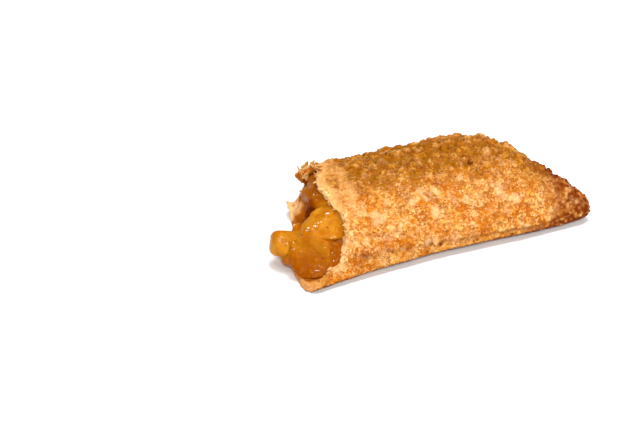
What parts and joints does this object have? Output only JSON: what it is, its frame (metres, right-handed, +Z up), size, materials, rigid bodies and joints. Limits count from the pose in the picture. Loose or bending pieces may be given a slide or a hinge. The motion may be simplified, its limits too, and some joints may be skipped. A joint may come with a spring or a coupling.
{
  "type": "turnover pastry half",
  "caption": "Half of a fried half-moon fruit turnover, broken across, showing a gelled filling with apple wedges inside a bubbly crust.",
  "frame": {"origin": "middle of the bounding box at the level it lies on", "axes": "+X along the folded edge from the break to the closed tip, +Y from the folded edge to the sealed rim, +Z up"},
  "size_m": [0.0886, 0.05, 0.0203],
  "materials": {
    "crust": "golden fried dough, bubbly and sugared",
    "filling": "wet amber fruit gel",
    "apple": "wet cooked apple"
  },
  "bodies": {
    "root": {"crust": "crust", "filling": "filling", "apple_slice_top": "apple", "apple_slice_low": "apple", "apple_chunk_left": "apple", "apple_chunk_back": "apple"}
  },
  "joints": []
}
